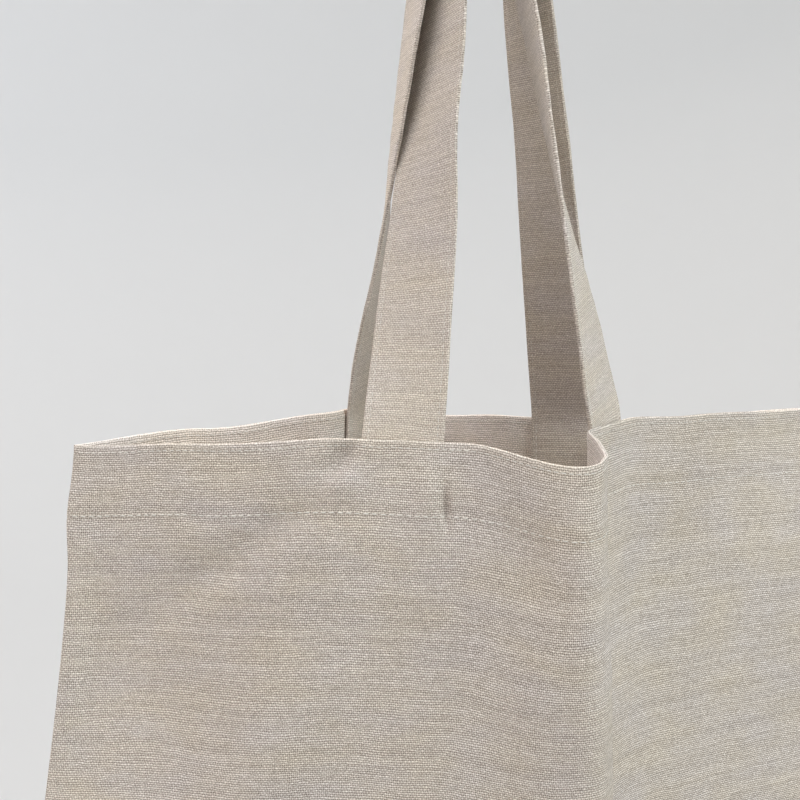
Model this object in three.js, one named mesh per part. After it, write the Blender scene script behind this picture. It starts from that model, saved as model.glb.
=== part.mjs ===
// Linen tote bag hanging by its two handles. Millimetres, Z up, front toward -Y.
// The origin is the point under the top of the front handle where the bag hangs.
import * as THREE from 'three';

// Cut cloth.
const PANEL_WIDTH = 380;
const PANEL_HEIGHT = 420;
const CLOTH = 1.0;
const HEM_DEPTH = 27;
const HEM_LAYER = 0.9;
const HEM_STEP = 1.2;
const SEAM_RUN = 22;
const GAP = 0.4;
const STRAP_WIDTH = 29.3;
const STRAP_THICKNESS = 1.4;
const STRAP_SEWN = 25.5;
const LOOP_GAP = 0.5;

// How the bag hangs.
const RIM_Z = -203;
const LOW_LEVEL = 0.31;
const LOW_POWER = 1.6;
const FLATTEN_POWER = 1.3;

// Mesh fineness.
const WALK_STEPS = 760;
const PANEL_COLUMNS = 58;
const COLUMN_PITCH = 9;
const COLUMN_BEND = 15;
const LEVEL_STEP = 0.004;
const SEWN_STEPS = 5;
const LEG_STEPS = 20;
const ARCH_STEPS = 14;
const STRAP_SHARES = [-0.5, 0, 0.5];
const GAIN_TRIES = 40;
const GAIN_LIMIT = 1.6;

const LINEN = { color: 0xbdb2a3, roughness: 0.92, metalness: 0 };

// Fold plan of the front panel: heading in degrees of the cloth seen from above, at a distance
// along the rim from the left seam, and the same fold lower down at LOW_LEVEL.
const FRONT_FOLDS = [
  { along: 0, turn: -33, lowAlong: 0, lowTurn: -28 },
  { along: 70, turn: -32, lowAlong: 75, lowTurn: -27 },
  { along: 105, turn: -28, lowAlong: 110, lowTurn: -26 },
  { along: 144, turn: -28, lowAlong: 145, lowTurn: -27 },
  { along: 152, turn: -43, lowAlong: 156, lowTurn: -34 },
  { along: 170, turn: -42, lowAlong: 176, lowTurn: -35 },
  { along: 186, turn: -31, lowAlong: 196, lowTurn: -28 },
  { along: 201, turn: 50, lowAlong: 216, lowTurn: 50 },
  { along: 214, turn: 74, lowAlong: 227, lowTurn: 73 },
  { along: 230, turn: 88, lowAlong: 240, lowTurn: 80 },
  { along: 240, turn: 43, lowAlong: 253, lowTurn: 38 },
  { along: 270, turn: 42, lowAlong: 277, lowTurn: 27 },
  { along: 291, turn: 18, lowAlong: 300, lowTurn: 19 },
  { along: 380, turn: 18, lowAlong: 380, lowTurn: 15 },
];

// Fold plan of the back panel at the rim; lower down it eases to fit the side seams.
const BACK_FOLDS = [
  { along: 0, turn: 14 },
  { along: 45, turn: -16 },
  { along: 90, turn: -18 },
  { along: 103, turn: 39 },
  { along: 135, turn: 39 },
  { along: 150, turn: 76 },
  { along: 162, turn: 71 },
  { along: 201, turn: -65 },
  { along: 228, turn: -70 },
  { along: 242, turn: -40 },
  { along: 275, turn: -40 },
  { along: 290, turn: 18 },
  { along: 340, turn: 15 },
  { along: 380, turn: 0 },
];

// How far the rim hangs below its height at the left end of the front handle.
const FRONT_DROOP = [
  { along: 0, drop: 7 },
  { along: 50, drop: 4 },
  { along: 105, drop: 0 },
  { along: 145, drop: 0.3 },
  { along: 188, drop: 5.8 },
  { along: 206, drop: 4 },
  { along: 238, drop: 0 },
  { along: 268, drop: 0.6 },
  { along: 310, drop: 3.2 },
  { along: 380, drop: 6.5 },
];
const BACK_DROOP = [
  { along: 0, drop: 7 },
  { along: 50, drop: 3 },
  { along: 103, drop: -3.2 },
  { along: 135, drop: -1.5 },
  { along: 188, drop: 9.6 },
  { along: 238, drop: 5 },
  { along: 270, drop: 4.4 },
  { along: 320, drop: 6.2 },
  { along: 380, drop: 6.5 },
];

// Left side seam from the rim (level 0) to the bottom corner (level 1).
const LEFT_SEAM = [
  { level: 0, x: -139.4, y: 46 },
  { level: 0.064, x: -141.4, y: 44 },
  { level: 0.18, x: -146.4, y: 42 },
  { level: 0.31, x: -154, y: 39.5 },
  { level: 0.5, x: -168, y: 28 },
  { level: 0.7, x: -178.5, y: 15 },
  { level: 0.85, x: -182.5, y: 8 },
  { level: 1, x: -184, y: 4 },
];

// Depths below the rim at which the panels are cut into rows.
const ROW_DEPTHS = [0, 9, 18, HEM_DEPTH, HEM_DEPTH + HEM_STEP, 42, 58, 76, 96, 118, 142, 170, 204, 244, 288, 330,
  370, 400, PANEL_HEIGHT];

// Handle legs: where the end is sewn along its hem, the heading of the strap's width where it
// reaches the top, its bow halfway up, and the share of its twist made by a share of its height.
const FRONT_LEFT_LEG = {
  along: 123.9,
  topTurn: -90,
  bowX: 1.5,
  bowY: 4.8,
  twist: [{ up: 0, share: 0 }, { up: 0.2, share: 0.25 }, { up: 0.34, share: 0.39 }, { up: 0.46, share: 0.54 },
    { up: 0.8, share: 0.76 }, { up: 1, share: 1 }],
};
const FRONT_RIGHT_LEG = {
  along: 256,
  topTurn: 90,
  bowX: -2.8,
  bowY: -5.7,
  twist: [{ up: 0, share: 0 }, { up: 0.2, share: 0.2 }, { up: 0.43, share: 0.525 }, { up: 0.8, share: 0.82 },
    { up: 1, share: 1 }],
};
const BACK_LEFT_LEG = {
  along: 117.8,
  topTurn: 90,
  bowX: -4.3,
  bowY: -5.7,
  twist: [{ up: 0, share: 0 }, { up: 0.04, share: 0.02 }, { up: 0.41, share: 0.64 }, { up: 0.8, share: 0.88 },
    { up: 1, share: 1 }],
};
const BACK_RIGHT_LEG = {
  along: 259.4,
  topTurn: -90,
  bowX: 0,
  bowY: 0,
  twist: [{ up: 0, share: 0 }, { up: 0.31, share: 0.38 }, { up: 0.43, share: 0.5 }, { up: 0.58, share: 0.6 },
    { up: 0.8, share: 0.72 }, { up: 1, share: 1 }],
};

// Tops of the handle loops: middle of the bend, its radius and the height of its crown.
const FRONT_ARCH = { x: 0, y: -3, radius: 8.6, crown: STRAP_THICKNESS / 2 };
const BACK_ARCH = { x: 1.3, y: 3.2, radius: 15.7, crown: STRAP_THICKNESS * 1.5 + LOOP_GAP };

const radians = THREE.MathUtils.degToRad;
const mix = THREE.MathUtils.lerp;

function rowBefore(rows, key, where) {
  let index = 0;
  while (index < rows.length - 2 && where >= rows[index + 1][key]) {
    index += 1;
  }
  return index;
}

// Value between table rows, level at every row.
function eased(rows, key, column, where) {
  const index = rowBefore(rows, key, where);
  const low = rows[index];
  const high = rows[index + 1];
  return mix(low[column], high[column], THREE.MathUtils.smoothstep(where, low[key], high[key]));
}

// Value between table rows, straight from row to row.
function straight(rows, key, column, where) {
  const index = rowBefore(rows, key, where);
  const low = rows[index];
  const high = rows[index + 1];
  const share = THREE.MathUtils.clamp((where - low[key]) / (high[key] - low[key]), 0, 1);
  return mix(low[column], high[column], share);
}

// Plan of a line of cloth that keeps its length while its heading follows turnAt.
function walkPlan(turnAt) {
  const step = PANEL_WIDTH / WALK_STEPS;
  const plan = [new THREE.Vector2(0, 0)];
  for (let index = 0; index < WALK_STEPS; index += 1) {
    const turn = radians(turnAt((index + 0.5) * step));
    const last = plan[index];
    plan.push(new THREE.Vector2(last.x + Math.cos(turn) * step, last.y + Math.sin(turn) * step));
  }
  return plan;
}

function frontPlan(level) {
  const share = Math.min(1, level / LOW_LEVEL) ** LOW_POWER;
  const past = Math.max(0, (level - LOW_LEVEL) / (1 - LOW_LEVEL));
  const fade = 1 - past ** FLATTEN_POWER;
  const rows = FRONT_FOLDS.map((row) => ({
    along: mix(row.along, row.lowAlong, share),
    turn: mix(row.turn, row.lowTurn, share) * fade,
  }));
  const seam = new THREE.Vector2(straight(LEFT_SEAM, 'level', 'x', level), straight(LEFT_SEAM, 'level', 'y', level));
  return walkPlan((along) => eased(rows, 'along', 'turn', along)).map((point) => point.add(seam));
}

// The back panel bends just enough to span the same side seams as the front panel.
function backPlan(level) {
  const front = frontPlan(level);
  const span = front[WALK_STEPS].clone().sub(front[0]);
  let low = 0;
  let high = GAIN_LIMIT;
  let plan = [];
  for (let attempt = 0; attempt < GAIN_TRIES; attempt += 1) {
    const gain = (low + high) / 2;
    plan = walkPlan((along) => gain * eased(BACK_FOLDS, 'along', 'turn', along));
    if (plan[WALK_STEPS].length() > span.length()) {
      low = gain;
    } else {
      high = gain;
    }
  }
  const tilt = Math.atan2(span.y, span.x) - Math.atan2(plan[WALK_STEPS].y, plan[WALK_STEPS].x);
  return plan.map((point) => point.rotateAround(new THREE.Vector2(0, 0), tilt).add(front[0]));
}

const FRONT = { planAt: frontPlan, folds: FRONT_FOLDS, droop: FRONT_DROOP, side: -1, plans: new Map() };
const BACK = { planAt: backPlan, folds: BACK_FOLDS, droop: BACK_DROOP, side: 1, plans: new Map() };

// Point on the outer face of a panel.
function outerPoint(panel, along, level) {
  if (!panel.plans.has(level)) {
    panel.plans.set(level, panel.planAt(level));
  }
  const plan = panel.plans.get(level);
  const place = (along / PANEL_WIDTH) * WALK_STEPS;
  const index = Math.min(WALK_STEPS - 1, Math.floor(place));
  const spot = plan[index].clone().lerp(plan[index + 1], place - index);
  const droop = eased(panel.droop, 'along', 'drop', along) * (1 - level);
  return new THREE.Vector3(spot.x, spot.y + panel.side * (CLOTH + GAP / 2), RIM_Z - droop - level * PANEL_HEIGHT);
}

// Direction into the bag at a point on a panel.
function inwardAt(panel, along, level) {
  const reach = PANEL_WIDTH / WALK_STEPS;
  const across = outerPoint(panel, Math.min(PANEL_WIDTH, along + reach), level)
    .sub(outerPoint(panel, Math.max(0, along - reach), level));
  const down = outerPoint(panel, along, Math.min(1, level + LEVEL_STEP))
    .sub(outerPoint(panel, along, Math.max(0, level - LEVEL_STEP)));
  return across.cross(down).normalize().multiplyScalar(-panel.side);
}

// The hem is doubled on the inside and thins out where it runs into a side seam.
function panelThickness(along, depth) {
  const toSeam = Math.min(along, PANEL_WIDTH - along);
  const full = depth <= HEM_DEPTH ? 1 : 0;
  return CLOTH + HEM_LAYER * full * THREE.MathUtils.clamp(toSeam / SEAM_RUN, 0, 1);
}

// Columns crowd together where the cloth bends.
function panelColumns(panel) {
  const weights = [0];
  const step = PANEL_WIDTH / WALK_STEPS;
  const bendAt = (key, column, along) => Math.abs(
    eased(panel.folds, key, column, along + step) - eased(panel.folds, key, column, along),
  );
  for (let index = 0; index < WALK_STEPS; index += 1) {
    const along = index * step;
    let weight = step / COLUMN_PITCH + bendAt('along', 'turn', along) / COLUMN_BEND;
    if (panel === FRONT) {
      weight += bendAt('lowAlong', 'lowTurn', along) / COLUMN_BEND;
    }
    weights.push(weights[index] + weight);
  }
  const columns = [];
  for (let column = 0; column <= PANEL_COLUMNS; column += 1) {
    const wanted = (weights[WALK_STEPS] * column) / PANEL_COLUMNS;
    let index = 0;
    while (index < WALK_STEPS - 1 && weights[index + 1] < wanted) {
      index += 1;
    }
    columns.push((index + (wanted - weights[index]) / (weights[index + 1] - weights[index])) * step);
  }
  return columns;
}

// Closed body between two faces given as equal grids of points, rows first.
function closedSheet(faceGrid, backGrid) {
  const rows = faceGrid.length;
  const columns = faceGrid[0].length;
  const positions = [];
  for (const grid of [faceGrid, backGrid]) {
    for (const row of grid) {
      for (const point of row) {
        positions.push(point.x, point.y, point.z);
      }
    }
  }
  const face = (row, column) => row * columns + column;
  const back = (row, column) => rows * columns + row * columns + column;
  const indices = [];
  const quad = (a, b, c, d) => indices.push(a, b, c, a, c, d);
  for (let row = 0; row < rows - 1; row += 1) {
    for (let column = 0; column < columns - 1; column += 1) {
      quad(face(row, column), face(row + 1, column), face(row + 1, column + 1), face(row, column + 1));
      quad(back(row, column), back(row, column + 1), back(row + 1, column + 1), back(row + 1, column));
    }
  }
  for (let column = 0; column < columns - 1; column += 1) {
    const last = rows - 1;
    quad(face(0, column), face(0, column + 1), back(0, column + 1), back(0, column));
    quad(face(last, column + 1), face(last, column), back(last, column), back(last, column + 1));
  }
  for (let row = 0; row < rows - 1; row += 1) {
    const last = columns - 1;
    quad(face(row + 1, 0), face(row, 0), back(row, 0), back(row + 1, 0));
    quad(face(row, last), face(row + 1, last), back(row + 1, last), back(row, last));
  }
  const geometry = new THREE.BufferGeometry();
  geometry.setAttribute('position', new THREE.Float32BufferAttribute(positions, 3));
  geometry.setIndex(indices);
  geometry.computeVertexNormals();
  return geometry;
}

function panelGeometry(panel) {
  const columns = panelColumns(panel);
  const outer = [];
  const inner = [];
  for (const depth of ROW_DEPTHS) {
    const level = depth / PANEL_HEIGHT;
    const outerRow = columns.map((along) => outerPoint(panel, along, level));
    const innerRow = columns.map((along, index) => inwardAt(panel, along, level)
      .multiplyScalar(panelThickness(along, depth)).add(outerRow[index]));
    outer.push(outerRow);
    inner.push(innerRow);
  }
  return panel === FRONT ? closedSheet(outer, inner) : closedSheet(inner, outer);
}

// Middle line of one end of a handle, from its sewn end up to where it meets the bend at the top.
function legStations(panel, leg, arch, atLeft) {
  const stations = [];
  const offset = CLOTH + HEM_LAYER + GAP + STRAP_THICKNESS / 2;
  const widthAt = (level) => outerPoint(panel, leg.along + STRAP_WIDTH / 2, level)
    .sub(outerPoint(panel, leg.along - STRAP_WIDTH / 2, level)).normalize();
  const centreAt = (level) => inwardAt(panel, leg.along, level).multiplyScalar(offset)
    .add(outerPoint(panel, leg.along, level));
  for (let row = 0; row < SEWN_STEPS; row += 1) {
    const level = (STRAP_SEWN * (1 - row / SEWN_STEPS)) / PANEL_HEIGHT;
    stations.push({ centre: centreAt(level), width: widthAt(level) });
  }
  const start = centreAt(0);
  const startWidth = widthAt(0);
  const startTurn = THREE.MathUtils.radToDeg(Math.atan2(startWidth.y, startWidth.x));
  const middleZ = arch.crown - arch.radius;
  const away = new THREE.Vector2(start.x - arch.x, start.z - middleZ);
  const spread = Math.acos(arch.radius / away.length());
  const angle = Math.atan2(away.y, away.x) + (atLeft ? -spread : spread);
  const touch = new THREE.Vector3(arch.x + arch.radius * Math.cos(angle), arch.y,
    middleZ + arch.radius * Math.sin(angle));
  for (let step = 0; step <= LEG_STEPS; step += 1) {
    const up = step / LEG_STEPS;
    const bow = Math.sin(Math.PI * up);
    const centre = start.clone().lerp(touch, up).add(new THREE.Vector3(leg.bowX * bow, leg.bowY * bow, 0));
    const turn = radians(mix(startTurn, leg.topTurn, straight(leg.twist, 'up', 'share', up)));
    stations.push({ centre, width: new THREE.Vector3(Math.cos(turn), Math.sin(turn), 0) });
  }
  return { stations, angle: THREE.MathUtils.euclideanModulo(angle, 2 * Math.PI) };
}

// One strap: up from its left end, over the top and down to its right end.
function handleGeometry(panel, leftLeg, rightLeg, arch) {
  const left = legStations(panel, leftLeg, arch, true);
  const right = legStations(panel, rightLeg, arch, false);
  const stations = [...left.stations];
  const topWidth = left.stations[left.stations.length - 1].width;
  for (let step = 1; step < ARCH_STEPS; step += 1) {
    const angle = mix(left.angle, right.angle, step / ARCH_STEPS);
    const centre = new THREE.Vector3(arch.x + arch.radius * Math.cos(angle), arch.y,
      arch.crown - arch.radius + arch.radius * Math.sin(angle));
    stations.push({ centre, width: topWidth.clone() });
  }
  for (const station of [...right.stations].reverse()) {
    stations.push({ centre: station.centre, width: station.width.negate() });
  }
  const outer = [];
  const inner = [];
  stations.forEach((station, index) => {
    const ahead = stations[Math.min(stations.length - 1, index + 1)].centre;
    const behind = stations[Math.max(0, index - 1)].centre;
    const way = ahead.clone().sub(behind).normalize();
    const width = station.width.clone().addScaledVector(way, -station.width.dot(way)).normalize();
    const facing = width.clone().cross(way).multiplyScalar(STRAP_THICKNESS / 2);
    const outerRow = [];
    const innerRow = [];
    for (const share of STRAP_SHARES) {
      const point = station.centre.clone().addScaledVector(width, share * STRAP_WIDTH);
      outerRow.push(point.clone().add(facing));
      innerRow.push(point.clone().sub(facing));
    }
    outer.push(outerRow);
    inner.push(innerRow);
  });
  return closedSheet(inner, outer);
}

function piece(name, geometry) {
  const mesh = new THREE.Mesh(geometry, new THREE.MeshStandardMaterial(LINEN));
  mesh.name = name;
  return mesh;
}

const bag = new THREE.Group();
bag.name = 'linen_tote_bag';
bag.add(piece('front_panel', panelGeometry(FRONT)));
bag.add(piece('back_panel', panelGeometry(BACK)));
bag.add(piece('front_handle', handleGeometry(FRONT, FRONT_LEFT_LEG, FRONT_RIGHT_LEG, FRONT_ARCH)));
bag.add(piece('back_handle', handleGeometry(BACK, BACK_LEFT_LEG, BACK_RIGHT_LEG, BACK_ARCH)));

export default bag;
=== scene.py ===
"""Linen tote bag hanging by its two handles: cloth, stitches, studio and camera.

Shapes are worked out in millimetres and turned into metres when a mesh is made.
Z is up and the front of the bag faces -Y.
"""
import math
from types import SimpleNamespace

import bmesh
import bpy
import numpy as np
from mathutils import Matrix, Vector


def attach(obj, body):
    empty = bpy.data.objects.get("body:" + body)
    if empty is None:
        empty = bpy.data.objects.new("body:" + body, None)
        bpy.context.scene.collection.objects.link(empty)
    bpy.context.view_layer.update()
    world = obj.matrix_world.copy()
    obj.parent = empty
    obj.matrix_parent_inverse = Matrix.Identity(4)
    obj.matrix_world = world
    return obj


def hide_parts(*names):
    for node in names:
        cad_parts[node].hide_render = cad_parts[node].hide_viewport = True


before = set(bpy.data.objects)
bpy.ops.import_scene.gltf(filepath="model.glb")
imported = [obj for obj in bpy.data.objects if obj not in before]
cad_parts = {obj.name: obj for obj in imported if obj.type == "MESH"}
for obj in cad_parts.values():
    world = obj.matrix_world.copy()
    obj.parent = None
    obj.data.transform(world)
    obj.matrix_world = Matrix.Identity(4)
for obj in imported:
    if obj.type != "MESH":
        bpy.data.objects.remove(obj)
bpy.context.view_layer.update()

BODY = "root"
METRE = 0.001

# Cut cloth.
PANEL_WIDTH = 380.0
PANEL_HEIGHT = 420.0
HEM_DEPTH = 27.0
CLOTH = 0.62
HEM_LAYERS = 0.85
HEM_EDGE_RUN = 0.9
SEAM_RUN = 22.0
OUTER_OFFSET = 1.2
SEAM_PINCH_RUN = 9.0
SEAM_TOUCH = 0.03
STRAP_WIDTH = 29.3
STRAP_THICKNESS = 1.6
STRAP_SEWN = 25.5
STRAP_CLEARANCE = 0.45

# How the bag hangs.
RIM_Z = -203.0
LOW_LEVEL = 0.31
LOW_SOFTNESS = 8.0
LOW_POWER = 1.6
FLATTEN_POWER = 1.3
WALK_STEPS = 760
GAIN_TRIES = 40
GAIN_LIMIT = 1.6

# Heading in degrees of the cloth seen from above, along the rim and lower down.
FRONT_FOLDS = [
    {"along": 0, "turn": -33, "low_along": 0, "low_turn": -28},
    {"along": 70, "turn": -32, "low_along": 75, "low_turn": -27},
    {"along": 105, "turn": -28, "low_along": 110, "low_turn": -26},
    {"along": 144, "turn": -28, "low_along": 145, "low_turn": -27},
    {"along": 152, "turn": -43, "low_along": 156, "low_turn": -34},
    {"along": 170, "turn": -42, "low_along": 176, "low_turn": -35},
    {"along": 186, "turn": -31, "low_along": 196, "low_turn": -28},
    {"along": 201, "turn": 50, "low_along": 216, "low_turn": 50},
    {"along": 214, "turn": 74, "low_along": 227, "low_turn": 73},
    {"along": 230, "turn": 88, "low_along": 240, "low_turn": 80},
    {"along": 240, "turn": 43, "low_along": 253, "low_turn": 38},
    {"along": 270, "turn": 42, "low_along": 277, "low_turn": 27},
    {"along": 291, "turn": 18, "low_along": 300, "low_turn": 19},
    {"along": 380, "turn": 18, "low_along": 380, "low_turn": 15},
]
BACK_FOLDS = [
    {"along": 0, "turn": 14},
    {"along": 45, "turn": -16},
    {"along": 90, "turn": -18},
    {"along": 103, "turn": 39},
    {"along": 135, "turn": 39},
    {"along": 150, "turn": 76},
    {"along": 162, "turn": 71},
    {"along": 201, "turn": -65},
    {"along": 228, "turn": -70},
    {"along": 242, "turn": -40},
    {"along": 275, "turn": -40},
    {"along": 290, "turn": 18},
    {"along": 340, "turn": 15},
    {"along": 380, "turn": 0},
]

# How far the rim hangs below its height at the left end of the front handle.
FRONT_DROOP = [
    {"along": 0, "drop": 7},
    {"along": 50, "drop": 4},
    {"along": 105, "drop": 0},
    {"along": 145, "drop": 0.3},
    {"along": 188, "drop": 5.8},
    {"along": 206, "drop": 4},
    {"along": 238, "drop": 0},
    {"along": 268, "drop": 0.6},
    {"along": 310, "drop": 3.2},
    {"along": 380, "drop": 6.5},
]
BACK_DROOP = [
    {"along": 0, "drop": 7},
    {"along": 50, "drop": 3},
    {"along": 103, "drop": -3.2},
    {"along": 135, "drop": -1.5},
    {"along": 188, "drop": 9.6},
    {"along": 238, "drop": 5},
    {"along": 270, "drop": 4.4},
    {"along": 320, "drop": 6.2},
    {"along": 380, "drop": 6.5},
]

# Left side seam from the rim (level 0) to the bottom corner (level 1).
LEFT_SEAM = [
    {"level": 0, "x": -139.4, "y": 46},
    {"level": 0.064, "x": -141.4, "y": 44},
    {"level": 0.18, "x": -146.4, "y": 42},
    {"level": 0.31, "x": -154, "y": 39.5},
    {"level": 0.5, "x": -168, "y": 28},
    {"level": 0.7, "x": -178.5, "y": 15},
    {"level": 0.85, "x": -182.5, "y": 8},
    {"level": 1, "x": -184, "y": 4},
]

# The stiff corner of the hem stands out a little at the left seam.
CORNER_FLARE = 1.7
CORNER_FLARE_HEIGHT = 14.0
CORNER_FLARE_RUN = 24.0

# Dents and swells of the front panel: middle, half sizes, lean and height toward the front.
# The handle ends follow only those with a half width over BROAD_DENT.
BROAD_DENT = 14.0
FRONT_DENTS = [
    {"along": 140.5, "depth": 23, "half_along": 1.7, "half_depth": 7, "lean": 0.1, "height": -2.6},
    {"along": 134, "depth": 20, "half_along": 5.0, "half_depth": 13, "lean": 0.1, "height": 1.4},
    {"along": 102, "depth": 7.5, "half_along": 4.0, "half_depth": 6, "lean": -0.6, "height": -3.4},
    {"along": 103, "depth": 17.5, "half_along": 5.5, "half_depth": 6.5, "lean": -0.4, "height": 1.9},
    {"along": 66, "depth": 41, "half_along": 15, "half_depth": 24, "lean": -1.28, "height": -3.2},
    {"along": 20, "depth": 80, "half_along": 30, "half_depth": 48, "lean": 0.0, "height": -5.2},
    {"along": 78, "depth": 125, "half_along": 24, "half_depth": 56, "lean": -0.15, "height": 7.0},
    {"along": 125, "depth": 125, "half_along": 45, "half_depth": 62, "lean": 0.0, "height": 4.0},
    {"along": 172, "depth": 36, "half_along": 13, "half_depth": 22, "lean": 0.1, "height": -4.0},
    {"along": 164, "depth": 80, "half_along": 14, "half_depth": 80, "lean": 0.1, "height": -1.4},
    {"along": 300, "depth": 46, "half_along": 50, "half_depth": 34, "lean": 0.0, "height": -3.0},
]

# Handle legs: place along the hem, heading of the width at the top, bow and twist.
FRONT_LEFT_LEG = {"along": 123.9, "top_turn": -90, "bow_x": 1.25, "bow_y": 4.05, "twist": [
    {"up": 0, "share": 0},
    {"up": 0.2, "share": 0.25},
    {"up": 0.34, "share": 0.39},
    {"up": 0.46, "share": 0.54},
    {"up": 0.55, "share": 0.667},
    {"up": 0.8, "share": 0.785},
    {"up": 1, "share": 1},
]}
FRONT_RIGHT_LEG = {"along": 256, "top_turn": 90, "bow_x": -2.8, "bow_y": -5.7, "twist": [
    {"up": 0, "share": 0},
    {"up": 0.2, "share": 0.2},
    {"up": 0.43, "share": 0.525},
    {"up": 0.8, "share": 0.82},
    {"up": 1, "share": 1},
]}
BACK_LEFT_LEG = {"along": 117.8, "top_turn": 90, "bow_x": -4.0, "bow_y": -4.4, "twist": [
    {"up": 0, "share": 0},
    {"up": 0.04, "share": 0.02},
    {"up": 0.41, "share": 0.64},
    {"up": 0.8, "share": 0.88},
    {"up": 1, "share": 1},
]}
BACK_RIGHT_LEG = {"along": 259.4, "top_turn": -90, "bow_x": 0, "bow_y": 0, "twist": [
    {"up": 0, "share": 0},
    {"up": 0.31, "share": 0.38},
    {"up": 0.43, "share": 0.5},
    {"up": 0.58, "share": 0.6},
    {"up": 0.8, "share": 0.72},
    {"up": 1, "share": 1},
]}
FRONT_ARCH = {"x": 0.0, "y": -3.0, "radius": 8.6, "crown": 0.7}
BACK_ARCH = {"x": 1.3, "y": 3.2, "radius": 15.7, "crown": 3.5}

# Mesh fineness.
PANEL_COLUMNS = 250
PINCH_START = 135.0
PINCH_END = 146.5
PINCH_STEP = 0.6
LEG_ROWS = 90
ARCH_ROWS = 18
SEWN_ROWS = 14
RIM_ARC = (0.15, 0.5, 0.85)
SEAM_COLUMNS = (0.08, 0.25, 0.6, 1.1)
CENTRE_PASSES = 4
WIDTH_PASSES = 6
NEAR_MIDDLE = 1.0

# Depths of the rows of a panel; a range is given as start, end and step.
RIM_ROWS = (0.75, 1.3, 1.9, 2.3, 2.7, 3.1, 3.6, 4.6)
HEM_ROWS = (6.0, 24.0, 1.8)
HEM_EDGE_ROWS = (24.6, 25.6, 26.2, 26.6, 26.9, 27.2, 27.5, 27.9, 28.4, 29.2, 30.4)
BODY_ROWS = (32.0, 415.0, 3.3)
BOTTOM_ROWS = (3.2, 1.4, 0.6, 0.25, 0.08, 0.0)

# Columns of a strap: steps in from each edge, then first, last and count across the middle.
STRAP_EDGE_COLUMNS = (0.0, 0.06, 0.22, 0.5, 0.9, 1.4, 1.9, 2.3, 2.7, 3.3, 4.2)
STRAP_MIDDLE_COLUMNS = (-10.0, 10.0, 11)

# Unevenness of the cloth: every wave is a length and a height.
RIPPLE_COUNT = 7
RIPPLE_SHARE = 2.6
RIPPLE_LENGTHS = (0.7, 1.4)
SOFT_WAVES = [(95.0, 0.55), (38.0, 0.16)]
SOFT_STRETCH = 1.9
FINE_WAVES = [(15.0, 0.05), (8.0, 0.03)]
SEAM_CALM = 12.0
BOTTOM_CALM = 20.0
PUCKER_LENGTHS = (7.0, 13.0)
PUCKER_REACH = 3.2
PUCKER_SQUEEZE = 0.35
GROOVE_DEPTH = 1.3
GROOVE_REACH = 0.8
HEM_PUCKER = 0.1
EDGE_PUCKER = 0.06
GATHER_WAVES = [(9.0, 0.05), (22.0, 0.07)]
STRAP_GROOVE = 0.17
STRAP_GROOVE_REACH = 0.7
STRAP_CROWN = 0.14
SWAY_WAVES = [(70.0, 0.35)]
SWAY_RUN = 30.0

# Stitches.
HEM_STITCH = {"pitch": 3.1, "length": 2.1, "radius": 0.24, "lift": 0.08}
EDGE_STITCH = {"pitch": 2.6, "length": 1.9, "radius": 0.19, "lift": 0.08}
STRAP_STITCH = {"pitch": 2.6, "length": 1.8, "radius": 0.16, "lift": 0.0}
HEM_STITCH_DEPTH = HEM_DEPTH - 0.6
EDGE_STITCH_DEPTH = 2.7
STRAP_STITCH_INSET = 2.3
STRAP_STITCH_START = 0.2 * STRAP_SEWN
STITCH_RINGS = 5
STITCH_SIDES = 6
STITCH_WANDER = 0.12
STITCH_FULLNESS = 0.6
STITCH_MARGIN = 1.5
STITCH_LINE_POINTS = 900
STITCH_LINE_STEP = 0.4

# Seeds of the random draws.
FRONT_SEED = 11
BACK_SEED = 23
FRONT_STRAP_SEED = 31
BACK_STRAP_SEED = 47
INNER_STITCH_SEED = 5
STRAP_STITCH_SEED = 3

# Millimetres of cloth in one unit of its flat coordinates.
UV_SPAN = 900.0

# How far the twist of a strap pulls its weave askew.
WEAVE_PULL = 0.4


def values(rows, name):
    return np.array([row[name] for row in rows], float)


def smoothstep(share):
    share = np.clip(share, 0.0, 1.0)
    return share * share * (3.0 - 2.0 * share)


def eased(places, heights, where):
    """Value between table rows, level at every row."""
    index = np.clip(np.searchsorted(places, where, side="right") - 1, 0, len(places) - 2)
    share = (where - places[index]) / (places[index + 1] - places[index])
    return heights[index] + (heights[index + 1] - heights[index]) * smoothstep(share)


def curved(rows, key, name, where):
    """Value between table rows on a smooth curve through all of them."""
    places, heights = values(rows, key), values(rows, name)
    slopes = np.gradient(heights, places)
    index = np.clip(np.searchsorted(places, where, side="right") - 1, 0, len(places) - 2)
    run = places[index + 1] - places[index]
    share = np.clip((where - places[index]) / run, 0.0, 1.0)
    rise = smoothstep(share)
    return (heights[index] * (1 - rise) + heights[index + 1] * rise
            + run * slopes[index] * share * (1 - share) ** 2
            - run * slopes[index + 1] * share ** 2 * (1 - share))


def unit(vectors):
    return vectors / np.linalg.norm(vectors, axis=-1, keepdims=True)


WALK_MIDDLES = (np.arange(WALK_STEPS) + 0.5) * PANEL_WIDTH / WALK_STEPS
WALK_PLACES = np.linspace(0.0, PANEL_WIDTH, WALK_STEPS + 1)


def walk_plan(turns):
    """Plan of a line of cloth that keeps its length while its heading follows turns."""
    step = PANEL_WIDTH / WALK_STEPS
    turns = np.radians(turns)
    steps = np.stack([np.cos(turns), np.sin(turns)], 1) * step
    return np.concatenate([np.zeros((1, 2)), np.cumsum(steps, axis=0)])


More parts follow.
